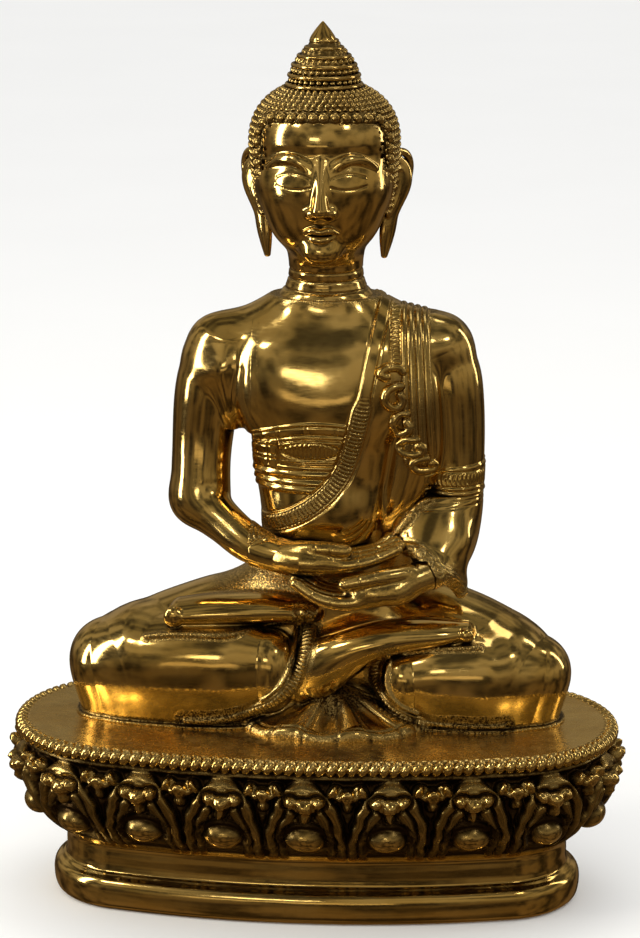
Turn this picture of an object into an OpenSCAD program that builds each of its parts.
// Seated brass figure on an oval lotus pedestal, cast in sections that plug and pin together.
// Millimetres. Origin at the middle of the standing face, +X to the right, +Y to the back, +Z up.

/* [Pedestal] */
// Width of the deck across its bead rim
rim_w = 199; // [188:1:210]
// Depth of the deck across its bead rim
rim_d = 93; // [88:1:98]
// Radius of the pedestal's round ends, seen from above
end_r = 39; // [37:0.5:41]
// Height of the deck above the standing face
deck_z = 60.5; // [58:0.5:64]
// Wall of the pedestal casting
pedestal_wall = 4; // [3:0.5:5]
// Number of large lotus petals around the bulge
petals = 18; // [14:2:22]

/* [Figure] */
// Sideways place of the figure's axis on the deck
figure_x = 2.4; // [-4:0.2:4]
// Wall of the hollow castings
figure_wall = 4; // [3:0.5:4.5]
// Radius of the neck spigot
neck_spigot_r = 8; // [7:0.5:9]
// Radius of the waist spigot
waist_spigot_r = 11; // [10:0.5:12]

/* [Fixings] */
// Radius of the two threaded studs that hold the figure down
stud_r = 3; // [2.5:0.5:3.5]
// Radius of the dowel pins
pin_r = 1.25; // [1:0.25:1.5]
// Clearance between a spigot and its socket
gap = 0.1; // [0.05:0.05:0.2]
// Thickness of the closing plate
plate_t = 2; // [1.5:0.5:2.5]

/* [Hidden] */
$fn = 48;

brass = "goldenrod";
dark_brass = "darkgoldenrod";

// Four-centred oval of the rim: two end arcs and two long arcs that meet without a kink
end_x = rim_w / 2 - end_r;
bow = rim_d / 2 - end_r;
long_y = (end_x * end_x - bow * bow) / (2 * bow);
long_r = end_r + norm([end_x, long_y]);
end_angle = atan2(long_y, end_x);
long_half_len = long_r * (90 - end_angle) * PI / 180;
end_half_len = end_r * end_angle * PI / 180;
perimeter = 4 * (long_half_len + end_half_len);

// Levels of the pedestal
foot_z = 10.8;
lotus_low_z = deck_z - 38;
bulge_z = deck_z - 12;
bead_z = deck_z - 4.2;
// Insets of its outline from the rim
foot_inset = 10.8;
waist_inset = 15.3;
bulge_out = 2.3;
// The closing plate sits this far above the standing face
plate_z = 3;
plate_inset = foot_inset + pedestal_wall + 0.9;
lug_r = 4.5;
lug_h = 14;
lug_x = 57;
lug_y = sqrt(long_r * long_r - lug_x * lug_x) - long_y - waist_inset - pedestal_wall - 2.6;
screw_r = 1.5;
screw_head_r = 3;
boss_r = 6.5;
boss_inset = -5.4;
boss_z = deck_z - 27;

// Studs, washers and nuts under the deck
deck_t = 4;
stud_x = 42;
stud_y = 15;
stud_up = 15;
washer_r = 8;
washer_t = 1.2;
nut_af = 10;
nut_t = 5;
stud_down = deck_t + washer_t + nut_t + 2.5;

// Joints of the figure, heights above the deck
waist_h = 44;
waist_spigot_h = 6;
collar_h = 140.5;
neck_spigot_h = 9;
jewel_h = 224;
jewel_tip_h = 229.8;
jewel_r = 4;
jewel_tenon_r = 1.5;
jewel_tenon_l = 7;
shoulder_x = -31;
shoulder_y = 15;
shoulder_h = 118;
shoulder_tenon_r = 5;
shoulder_tenon_l = 9;
sleeve_h = 76;
sleeve_x = 43.5;
sleeve_y = 14;
sleeve_tenon_r = 4;
sleeve_tenon_l = 10;
wrist_tenon_r = 2.4;
wrist_tenon_l = 7;
right_wrist = [-15, -6, 57.5];
right_wrist_dir = [24, -9, -2];
left_wrist = [34.5, -9, 52.5];
left_wrist_dir = [-12, -8, -4];

// Power of a cosine or sine that keeps its sign: the outline of a superellipse
function soft(v, p) = sign(v) * pow(abs(v), p);
// One ring of points around c, in the plane of u and v
function ring(c, u, v, n, k) = [
    for (i = [0 : k - 1])
        let (a = 360 * i / k)
        c + soft(cos(a), 2 / n) * u + soft(sin(a), 2 / n) * v
];
function unit(v) = v / norm(v);

// Closed skin over a list of rings that all have the same number of points
module skin(rings) {
    k = len(rings[0]);
    m = len(rings);
    points = [for (r = rings) each r];
    sides = [
        for (i = [0 : m - 2], j = [0 : k - 1], half = [0, 1])
            let (a = i * k + j, b = i * k + (j + 1) % k)
            half == 0 ? [a, a + k, b + k] : [a, b + k, b]
    ];
    low = [for (j = [0 : k - 1]) j];
    high = [for (j = [k - 1 : -1 : 0]) (m - 1) * k + j];
    polyhedron(points = points, faces = concat([low], sides, [high]));
}

// Upright body from levels of [height, x, y, half width, half depth, squareness]
module upright(levels, inset = 0, k = 32) {
    skin([
        for (s = levels)
            ring([s[1], s[2], s[0]], [s[3] - inset, 0, 0], [0, s[4] - inset, 0], s[5], k)
    ]);
}

// Limb along stations of [point, half width, half height]; the width is square to the reference
// direction, which is never along the limb: up for a level limb, back for an upright one
up = [0, 0, 1];
back = [0, 1, 0];
module limb(stations, k = 16, reference = up) {
    last = len(stations) - 1;
    skin([
        for (i = [0 : last])
            let (
                s = stations[i],
                t = unit(stations[min(i + 1, last)][0] - stations[max(i - 1, 0)][0]),
                w = unit(cross(reference, t)),
                h = cross(t, w)
            )
            ring(s[0], w * s[1], h * s[2], 2, k)
    ]);
}

// Round rod from point a along the direction d
module rod(a, d, r, length) {
    translate(a)
        rotate([0, acos(unit(d).z), atan2(d.y, d.x)])
            cylinder(r = r, h = length);
}

// Sweeps a profile of [outset from the rim, height] around the oval
module around_oval() {
    for (side = [0, 180])
        rotate([0, 0, side]) {
            translate([end_x, 0, 0])
                rotate([0, 0, -end_angle])
                    rotate_extrude(angle = 2 * end_angle, $fn = 96)
                        translate([end_r, 0])
                            children();
            translate([0, -long_y, 0])
                rotate([0, 0, end_angle])
                    rotate_extrude(angle = 180 - 2 * end_angle, $fn = 360)
                        translate([long_r, 0])
                            children();
        }
}

// Outline of the oval, drawn in by an inset
module oval(inset) {
    intersection() {
        translate([0, -long_y])
            circle(r = long_r - inset, $fn = 360);
        translate([0, long_y])
            circle(r = long_r - inset, $fn = 360);
        union() {
            square([2 * end_x, rim_d], center = true);
            for (side = [-1, 1])
                translate([side * end_x, 0])
                    circle(r = end_r - inset, $fn = 96);
        }
    }
}

// Point and outward angle at a distance along the oval from the middle of its front
function oval_front(s) =
    let (a = s / long_r * 180 / PI)
    [long_r * sin(a), long_y - long_r * cos(a), a - 90];
function oval_end(s) =
    let (a = (s - long_half_len) / end_r * 180 / PI - end_angle)
    [end_x + end_r * cos(a), end_r * sin(a), a];
function oval_quarter(s) = s <= long_half_len ? oval_front(s) : oval_end(s);
function oval_half(s) =
    s <= perimeter / 4
        ? oval_quarter(s)
        : let (q = oval_quarter(perimeter / 2 - s)) [q.x, -q.y, -q.z];
function oval_at(s) =
    s <= perimeter / 2
        ? oval_half(s)
        : let (q = oval_half(perimeter - s)) [-q.x, q.y, 180 - q.z];

// Bulge of the lotus between its lower edge and the bead rim, as a quarter ellipse and a return
bulge = [
    for (a = [0 : 15 : 90])
        [bulge_out - (bulge_out + waist_inset) * (1 - sin(a)) * 0.92, bulge_z - (bulge_z - lotus_low_z) * cos(a)]
];
// Rounded outer face of the foot
foot_roll_d = 3.2;
foot_roll = [
    for (a = [-75 : 25 : 75])
        [-foot_inset - foot_roll_d * (1 - cos(a)), foot_z / 2 * (1 + sin(a) * 0.97)]
];

module pedestal_profile() {
    inner_low = -foot_inset - pedestal_wall - 0.8;
    inner = -waist_inset - pedestal_wall;
    polygon(concat(
        [[inner_low, 0], [-foot_inset - foot_roll_d + 0.4, 0]],
        foot_roll,
        [[-waist_inset, foot_z + 1.6], [-waist_inset, lotus_low_z]],
        bulge,
        [[1.6, bead_z - 2.4], [-0.6, bead_z - 0.4], [0, bead_z + 0.8], [0.1, deck_z - 1.6], [-1.2, deck_z]],
        [[-9, deck_z], [-9, deck_z - deck_t - 1], [-pedestal_wall, bulge_z]],
        [[inner, lotus_low_z + 4], [inner, plate_z + plate_t + 2.4], [inner_low, plate_z + plate_t + 1]]
    ));
}

module lotus_pedestal() {
    color(brass)
        difference() {
            union() {
                around_oval()
                    pedestal_profile();
                translate([0, 0, deck_z - deck_t])
                    linear_extrude(deck_t)
                        oval(6);
                for (x = [-lug_x, lug_x], y = [-lug_y, lug_y])
                    translate([x, y, plate_z + plate_t])
                        cylinder(r = lug_r, h = lug_h);
                for (i = [0 : petals - 1]) {
                    p = oval_at(i * perimeter / petals);
                    translate([p.x, p.y, boss_z])
                        rotate([0, 0, p.z])
                            translate([boss_inset, 0, 0])
                                sphere(r = boss_r);
                }
            }
            for (x = [-lug_x, lug_x], y = [-lug_y, lug_y])
                translate([x, y, plate_z])
                    cylinder(r = screw_r + gap, h = 12);
            for (x = [-stud_x, stud_x])
                translate([figure_x + x, stud_y, deck_z - deck_t - 1])
                    cylinder(r = stud_r + 3 * gap, h = deck_t + 2);
        }
}

module base_plate() {
    color(dark_brass)
        translate([0, 0, plate_z])
            difference() {
                linear_extrude(plate_t)
                    oval(plate_inset);
                for (x = [-lug_x, lug_x], y = [-lug_y, lug_y])
                    translate([x, y, -1])
                        cylinder(r = screw_r + 3 * gap, h = plate_t + 2);
            }
}

module base_plate_screws() {
    color("peru")
        for (x = [-lug_x, lug_x], y = [-lug_y, lug_y])
            translate([x, y, plate_z]) {
                translate([0, 0, -1.6])
                    cylinder(r = screw_head_r, h = 1.6);
                cylinder(r = screw_r, h = 10);
            }
}

// Everything of the figure is drawn about its own axis, from the deck up
module on_deck() {
    translate([figure_x, 0, deck_z])
        children();
}

// Legs crossed in the lotus pose, with the seat and the spread hem in front
seat_levels = [
    [0, 0, 19, 52, 19, 3], [8, 0, 19, 53, 20, 3], [22, 0, 18, 49, 20, 2.6],
    [34, 0, 17, 40, 19, 2.4], [waist_h, 1, 16, 33, 17, 2.2]
];
seat_core = [
    [-1, 0, 18, 36, 15, 3], [10, 0, 18, 36, 15, 3], [24, 0, 18, 30, 14, 2.4], [38, 0, 17, 16, 10, 2.2]
];
module thigh(side) {
    limb([
        [[side * 22, 16, 24], 17, 17], [[side * 45, 12, 21], 18, 19], [[side * 63, 7, 18], 17, 18],
        [[side * 76, 5, 17], 12, 14], [[side * 83, 4, 16.5], 5, 6]
    ], 20);
}
module right_shin() {
    limb([
        [[-82, 3, 17], 6, 7], [[-76, 1, 17], 12, 14], [[-62, -1, 18], 16, 17.6], [[-40, -3, 18.5], 15, 17],
        [[-18, -6, 18], 12, 15], [[-4, -8, 20], 9, 11], [[8, -10, 26], 7, 7.5], [[24, -8, 31], 7, 6],
        [[40, -6, 32.5], 7, 4.5], [[50, -5, 33], 4, 2.5]
    ], 20);
}
module left_shin() {
    limb([
        [[83, 3, 16], 6, 7], [[76, 1, 16], 12, 14], [[60, 0, 16.5], 15, 16.5], [[42, -1, 16.5], 14, 15.5],
        [[28, -2, 15], 11, 12.5], [[18, -1, 12], 7, 8]
    ], 20);
}
module left_foot() {
    limb([
        [[-6, 3, 37], 5, 3], [[-14, 3, 38.5], 7, 4], [[-32, 4, 38.5], 7.5, 4], [[-46, 4, 38], 6.5, 3.2],
        [[-53, 3, 37.5], 3.5, 2]
    ], 16);
}
module spread_hem() {
    upright([
        [0, 8, -10, 31, 17.5, 2.2], [1.6, 8, -10, 31, 17.2, 2.2], [5, 6, -7, 22, 13, 2], [13, 3, -2, 8, 8, 2]
    ], k = 28);
}

module lower_body() {
    color(brass)
        on_deck()
            difference() {
                union() {
                    intersection() {
                        union() {
                            upright(seat_levels);
                            thigh(-1);
                            thigh(1);
                            right_shin();
                            left_shin();
                            left_foot();
                            spread_hem();
                        }
                        translate([-100, -60, 0])
                            cube([200, 120, 60]);
                    }
                    translate([0, 16, waist_h - 1])
                        cylinder(r = waist_spigot_r, h = waist_spigot_h + 1);
                }
                upright(seat_core, figure_wall - 4, k = 24);
                for (x = [-stud_x, stud_x])
                    translate([x, stud_y, -1])
                        cylinder(r = stud_r, h = stud_up + 1);
                for (x = [-1, 1])
                    translate([x * 5, 16, waist_h + waist_spigot_h / 2])
                        rotate([-90, 0, 0])
                            cylinder(r = pin_r, h = waist_spigot_r + 2);
            }
}

// Chest, belly and back, with the covered left shoulder and the sleeve down to its hem
torso_levels = [
    [waist_h, 0, 16, 23, 15, 2.4], [56, 0, 15, 21.5, 15.5, 2.4], [68, 0, 14, 21.5, 16, 2.3],
    [80, 0, 13.5, 23, 17, 2.3], [92, 0, 13, 25.5, 18, 2.3], [104, 0, 12.5, 28, 19.5, 2.3],
    [114, 0, 13, 31, 20, 2.3], [122, 0, 14, 37, 19, 2.3], [128, 0, 15, 41, 16.5, 2.3],
    [132, 0, 15.5, 39, 14.5, 2.2], [136, 0, 15.5, 29, 13.5, 2.1], [139, 0, 15.5, 20, 13.5, 2],
    [collar_h, 0, 15.5, 16, 14, 2]
];
torso_core = [
    [waist_h + waist_spigot_h + 2, 0, 15, 15, 10, 2.2], [68, 0, 14, 17.5, 12, 2.2], [92, 0, 13, 21.5, 14, 2.2],
    [112, 0, 13, 25, 15, 2.2], [122, 0, 14, 20, 11, 2.2]
];
module sleeve() {
    limb([
        [[39, 15.5, 133.4], 3, 3], [[39.6, 15.4, 131.2], 7.6, 7.6], [[41, 15, 125], 10.4, 10.4],
        [[42.5, 15, 114], 10.6, 11], [[43, 15, 100], 10, 10.6], [[43.2, 14.6, 86], 9.6, 10.5],
        [[43.5, 14, sleeve_h], 9.6, 10.5]
    ], 20, back);
}

module torso() {
    color(brass)
        on_deck()
            difference() {
                union() {
                    difference() {
                        union() {
                            upright(torso_levels);
                            sleeve();
                            upright([
                                [56, 22, 13, 8, 7, 2], [70, 25, 12, 8.5, 8, 2], [sleeve_h - 0.5, 25.5, 11, 8.8, 8.6, 2],
                                [84, 29, 10, 10, 10, 2], [104, 30, 9.5, 10.5, 12, 2], [126, 29, 12, 9, 13, 2]
                            ], k = 20);
                        }
                        upright(torso_core, figure_wall - 4, k = 24);
                    }
                    translate([shoulder_x, shoulder_y, shoulder_h])
                        rotate([0, 90, 0])
                            cylinder(r = shoulder_tenon_r + 3, h = shoulder_tenon_l + 3);
                }
                translate([shoulder_x - 30, -20, waist_h])
                    cube([30, 70, 100]);
                translate([sleeve_x - 9.6, -20, sleeve_h - 30])
                    cube([30, 70, 30]);
                translate([shoulder_x - 1, shoulder_y, shoulder_h])
                    rotate([0, 90, 0])
                        cylinder(r = shoulder_tenon_r + gap, h = shoulder_tenon_l + 1 + gap);
                translate([0, 15.5, collar_h - neck_spigot_h - gap])
                    cylinder(r = neck_spigot_r + gap, h = neck_spigot_h + 1);
                translate([0, 16, waist_h - 1])
                    cylinder(r = waist_spigot_r + gap, h = waist_spigot_h + 4);
                translate([sleeve_x, sleeve_y, sleeve_h - 1])
                    cylinder(r = sleeve_tenon_r + gap, h = sleeve_tenon_l + 1 + gap);
                pin_holes_in_torso();
            }
}

// Holes for the waist, neck, shoulder and sleeve pins
module pin_holes_in_torso() {
    for (x = [-5, 5])
        translate([x, 20, waist_h + waist_spigot_h / 2])
            rotate([-90, 0, 0])
                cylinder(r = pin_r, h = 20);
    translate([0, 15.5, collar_h - neck_spigot_h / 2])
        rotate([-90, 0, 0])
            cylinder(r = pin_r, h = 30);
    translate([shoulder_x + shoulder_tenon_l / 2, shoulder_y, shoulder_h])
        rotate([-90, 0, 0])
            cylinder(r = pin_r, h = 30);
    translate([sleeve_x, sleeve_y, sleeve_h + sleeve_tenon_l / 2])
        rotate([-90, 0, 0])
            cylinder(r = pin_r, h = 20);
}

// Neck, face, ears, hair and the raised crown
head_levels = [
    [collar_h, 0, 15.5, 15.5, 13.8, 2], [143, 0, 15.5, 14, 12.8, 2], [146, 0, 15, 12.2, 12, 2],
    [152, 0, 14, 12.4, 13, 2], [155.5, 0, 10.5, 13.5, 17.5, 2], [162, 0, 11, 18.5, 21, 2.1],
    [170, 0, 12, 21.8, 22.5, 2.2], [178, 0, 12.5, 23.5, 23.5, 2.2], [186, 0, 13, 25, 24.8, 2.2],
    [193, 0, 13, 25.4, 25, 2.1], [199, 0, 13, 24, 23.8, 2.1], [204, 0, 13, 20.6, 20.6, 2],
    [207.5, 0, 13, 16, 16, 2], [209.5, 0, 12.5, 12.6, 12.6, 2], [213, 0, 12.5, 11.6, 11.6, 2],
    [218, 0, 12.2, 8.8, 8.8, 2], [jewel_h, 0, 12, 5, 5, 2]
];
module ear(side) {
    upright([
        [156, side * 20.6, 12.5, 2, 2.4, 2], [160, side * 21, 13, 2.4, 3.4, 2], [168, side * 23, 14, 2.4, 3.6, 2],
        [175, side * 24.8, 15, 2.6, 5, 2], [181, side * 26, 16, 2.4, 6, 2], [185.5, side * 26.2, 16, 1.4, 3.4, 2]
    ], k = 12);
}
module nose() {
    upright([[168, 0, -10, 3.4, 3.6, 2], [171, 0, -11, 3.2, 3.4, 2], [182, 0, -9.6, 1.6, 3, 2]], k = 12);
}

module head() {
    color(brass)
        on_deck()
            difference() {
                union() {
                    upright(head_levels);
                    ear(-1);
                    ear(1);
                    nose();
                    translate([0, 15.5, collar_h - neck_spigot_h])
                        cylinder(r = neck_spigot_r, h = neck_spigot_h + 1);
                }
                translate([0, 12.8, 183])
                    sphere(r = 18);
                translate([0, 12, jewel_h - jewel_tenon_l - gap])
                    cylinder(r = jewel_tenon_r + gap, h = jewel_tenon_l + 1);
                translate([0, 15.5, collar_h - neck_spigot_h / 2])
                    rotate([-90, 0, 0])
                        cylinder(r = pin_r, h = neck_spigot_r + 2);
            }
}

module crown_jewel() {
    tall = jewel_tip_h - jewel_h;
    color(brass)
        on_deck()
            translate([0, 12, jewel_h]) {
                rotate_extrude()
                    polygon(concat(
                        [[0, 0]],
                        [
                            for (t = [0 : 0.125 : 1])
                                [jewel_r * (1 - pow(t, 1.3)), tall * t]
                        ]
                    ));
                translate([0, 0, -jewel_tenon_l])
                    cylinder(r = jewel_tenon_r, h = jewel_tenon_l + 1);
            }
}

// Bare right arm from the shoulder face to the wrist
module right_arm() {
    d = unit(right_wrist_dir);
    color(brass)
        on_deck()
            difference() {
                union() {
                    difference() {
                        union() {
                            limb([
                                [[-38, 15.5, 133], 3, 3], [[-38.6, 15.4, 130.8], 7.6, 7.6], [[-40, 15, 124.5], 10.6, 10.6],
                                [[-41, 15, 114], 11.2, 11.2], [[-41.5, 15, 101], 10.6, 10.6], [[-42, 14, 87], 10, 10],
                                [[-42, 12.5, 74], 9.8, 9.8], [[-40.5, 9, 64.5], 9.4, 9], [[-34, 4, 59.5], 7.4, 7.6],
                                [right_wrist - 9.5 * d, 6, 6.4], [right_wrist, 5, 5.6]
                            ], 20, back);
                            upright([
                                [98, -33, 14, 3, 6, 2.2], [106, -33, 14, 5, 11, 2.2], [118, -33, 15, 8, 15, 2.2],
                                [127, -33, 15.3, 7, 14.6, 2.2], [133.2, -33, 15.5, 4, 12, 2.2]
                            ], k = 20);
                        }
                        translate([shoulder_x, -20, 90])
                            cube([30, 70, 60]);
                    }
                    translate([shoulder_x - 2, shoulder_y, shoulder_h])
                        rotate([0, 90, 0])
                            cylinder(r = shoulder_tenon_r, h = shoulder_tenon_l + 2);
                }
                translate([shoulder_x + shoulder_tenon_l / 2, shoulder_y, shoulder_h])
                    rotate([-90, 0, 0])
                        cylinder(r = pin_r, h = shoulder_tenon_r + 1);
                rod(right_wrist + d, -d, wrist_tenon_r + gap, wrist_tenon_l + 1 + gap);
                wrist_pin_hole(right_wrist, right_wrist_dir);
            }
}

// Vertical pin hole through a wrist tenon
module wrist_pin_hole(wrist, dir) {
    translate(wrist - unit(dir) * wrist_tenon_l / 2)
        cylinder(r = 0.8, h = 12, center = true, $fn = 24);
}

// Upper hand, palm up, its fingers pointing to the figure's left
module right_hand() {
    d = unit(right_wrist_dir);
    color(brass)
        on_deck()
            difference() {
                union() {
                    limb([
                        [right_wrist + 0.1 * d, 5.4, 4.8], [right_wrist + 7 * d, 7, 4.6], [[2, -11, 56.8], 8, 4.2],
                        [[12, -11.5, 58], 7.8, 3.6], [[21, -11, 60.4], 6.6, 3], [[27.5, -9.5, 62.4], 3, 1.8]
                    ]);
                    rod(right_wrist + d, -d, wrist_tenon_r, wrist_tenon_l + 1);
                }
                wrist_pin_hole(right_wrist, right_wrist_dir);
            }
}

// Left forearm, from the sleeve's hem to the wrist
module left_forearm() {
    d = unit(left_wrist_dir);
    color(brass)
        on_deck()
            difference() {
                union() {
                    difference() {
                        limb([
                            [[43.5, 14.2, 80], 9.2, 10], [[44, 13.6, 70], 9, 9.6], [[44.6, 10.5, 62], 8.2, 9],
                            [[42.5, 3, 56], 7, 7.6], [left_wrist - 6 * d, 5.8, 6.2], [left_wrist, 5, 5.2]
                        ], 20, unit([-1, 1, 0]));
                        translate([20, -20, sleeve_h - 0.1])
                            cube([50, 60, 30]);
                    }
                    translate([sleeve_x, sleeve_y, sleeve_h - 4])
                        cylinder(r = sleeve_tenon_r, h = sleeve_tenon_l + 4);
                }
                translate([sleeve_x, sleeve_y, sleeve_h + sleeve_tenon_l / 2])
                    rotate([-90, 0, 0])
                        cylinder(r = pin_r, h = sleeve_tenon_r + 1);
                rod(left_wrist + d, -d, wrist_tenon_r + gap, wrist_tenon_l + 1 + gap);
                wrist_pin_hole(left_wrist, left_wrist_dir);
            }
}

// Lower hand, palm up, its fingers pointing to the figure's right
module left_hand() {
    d = unit(left_wrist_dir);
    color(brass)
        on_deck()
            difference() {
                union() {
                    limb([
                        [left_wrist + 0.1 * d, 5, 4.8], [left_wrist + 8 * d, 7, 4.4], [[17, -15.4, 46.8], 8, 4],
                        [[7, -16, 46.6], 7.6, 3.6], [[-3, -15.4, 48.6], 6.2, 2.8], [[-10, -14, 51], 3, 1.6]
                    ]);
                    rod(left_wrist + d, -d, wrist_tenon_r, wrist_tenon_l + 1);
                }
                wrist_pin_hole(left_wrist, left_wrist_dir);
            }
}

module pin_along_y(x, y, h, length) {
    translate([x, y, h])
        rotate([-90, 0, 0])
            cylinder(r = pin_r - 0.02, h = length);
}

module waist_pins() {
    color("peru")
        on_deck()
            for (x = [-5, 5])
                pin_along_y(x, 20, waist_h + waist_spigot_h / 2, 10);
}

module neck_pin() {
    color("peru")
        on_deck()
            pin_along_y(0, 17, collar_h - neck_spigot_h / 2, 11);
}

module shoulder_pin() {
    color("peru")
        on_deck()
            pin_along_y(shoulder_x + shoulder_tenon_l / 2, 16, shoulder_h, 12);
}

module sleeve_pin() {
    color("peru")
        on_deck()
            pin_along_y(sleeve_x, 15, sleeve_h + sleeve_tenon_l / 2, 8);
}

module wrist_pins() {
    color("peru")
        on_deck()
            for (w = [[right_wrist, right_wrist_dir], [left_wrist, left_wrist_dir]])
                translate(w[0] - unit(w[1]) * wrist_tenon_l / 2)
                    cylinder(r = 0.78, h = 8, center = true, $fn = 24);
}

module fixing_studs() {
    color("silver")
        on_deck()
            for (x = [-stud_x, stud_x])
                translate([x, stud_y, -stud_down])
                    cylinder(r = stud_r - 0.02, h = stud_down + stud_up - 1);
}

module stud_washers() {
    color("silver")
        on_deck()
            for (x = [-stud_x, stud_x])
                translate([x, stud_y, -deck_t - washer_t])
                    difference() {
                        cylinder(r = washer_r, h = washer_t);
                        translate([0, 0, -1])
                            cylinder(r = stud_r + 2 * gap, h = washer_t + 2);
                    }
}

module stud_nuts() {
    color("silver")
        on_deck()
            for (x = [-stud_x, stud_x])
                translate([x, stud_y, -deck_t - washer_t - nut_t])
                    difference() {
                        cylinder(r = nut_af / 2 / cos(30), h = nut_t, $fn = 6);
                        translate([0, 0, -1])
                            cylinder(r = stud_r, h = nut_t + 2);
                    }
}

lotus_pedestal();
base_plate();
base_plate_screws();
lower_body();
torso();
head();
crown_jewel();
right_arm();
right_hand();
left_forearm();
left_hand();
waist_pins();
neck_pin();
shoulder_pin();
sleeve_pin();
wrist_pins();
fixing_studs();
stud_washers();
stud_nuts();
